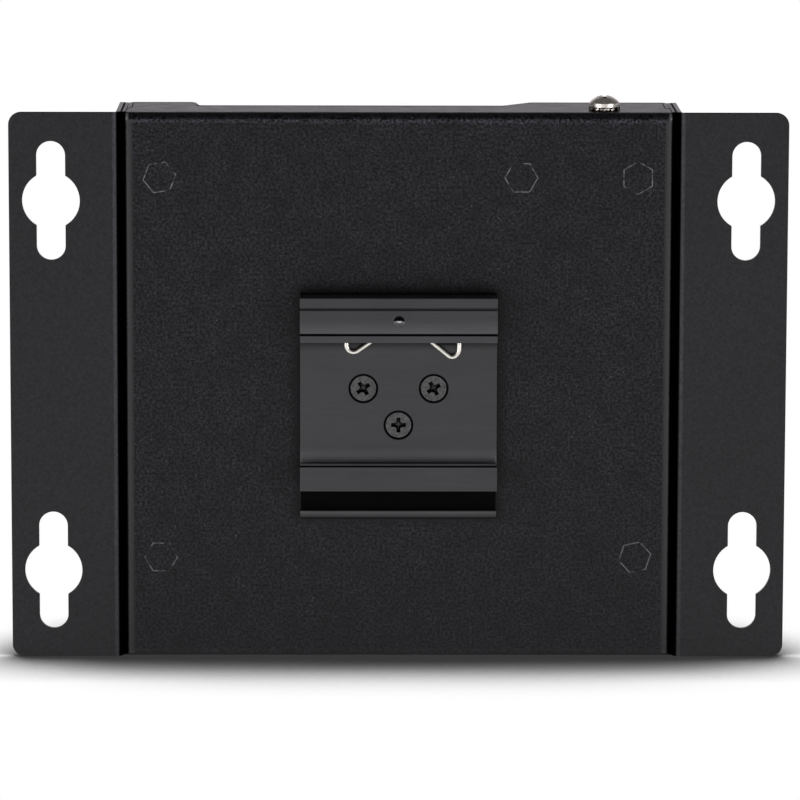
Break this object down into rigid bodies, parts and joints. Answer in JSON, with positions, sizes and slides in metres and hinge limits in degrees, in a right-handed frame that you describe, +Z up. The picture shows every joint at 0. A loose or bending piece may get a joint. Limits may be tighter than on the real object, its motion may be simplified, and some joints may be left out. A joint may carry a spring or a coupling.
{
  "type": "din rail ethernet switch",
  "caption": "Flat folded-steel Ethernet switch for cabinets, with keyhole wall brackets and an extruded rail clip on its back.",
  "frame": {"origin": "middle of the footprint on the surface that the switch stands on, at the centre of its box", "axes": "+Z up, +Y from the back panel to the ports, +X to the right when looking at the back panel"},
  "size_m": [0.189, 0.0346, 0.1375],
  "materials": {
    "body_coat": "black textured powder coat",
    "bracket_coat": "black satin powder coat",
    "black_anodised": "black anodised, finely brushed along its width",
    "spring_steel": "bright nickel-plated wire",
    "black_screw": "black oxide",
    "bright_screw": "bright nickel plate",
    "plain_steel": "zinc plate",
    "board": "green solder mask",
    "port_moulding": "black moulded",
    "port_shield": "nickel-plated shell",
    "contact": "gold flashed",
    "terminal_moulding": "green moulded",
    "clear_moulding": "clear moulded",
    "led": "small moulded lamp",
    "chip": "black moulded package",
    "bare_aluminium": "extruded, bare",
    "ferrite": "grey ferrite"
  },
  "bodies": {
    "root": {"rear_tray": "body_coat", "front_cover": "body_coat", "left_bracket": "bracket_coat", "right_bracket": "bracket_coat", "left_bracket_screws": "black_screw", "right_bracket_screws": "black_screw", "flange_nuts": "plain_steel", "rail_clip": "black_anodised", "rail_spring": "spring_steel", "clip_screws": "black_screw", "clip_nuts": "plain_steel", "ground_screw": "bright_screw", "ground_washer": "bright_screw", "ground_nut": "plain_steel", "board_standoffs": "body_coat", "circuit_board": "board", "board_screws": "plain_steel", "upper_port_housing": "port_moulding", "upper_port_shield": "port_shield", "upper_port_contacts": "contact", "lower_port_housing": "port_moulding", "lower_port_shield": "port_shield", "lower_port_contacts": "contact", "terminal_header": "terminal_moulding", "terminal_pins": "plain_steel", "light_guides": "clear_moulding", "indicator_leds": "led", "switch_chip": "chip", "heat_sink": "bare_aluminium", "magnetics": "chip", "power_inductors": "ferrite", "capacitors": "bare_aluminium", "alarm_relay": "chip", "crystal": "plain_steel"}
  },
  "joints": []
}
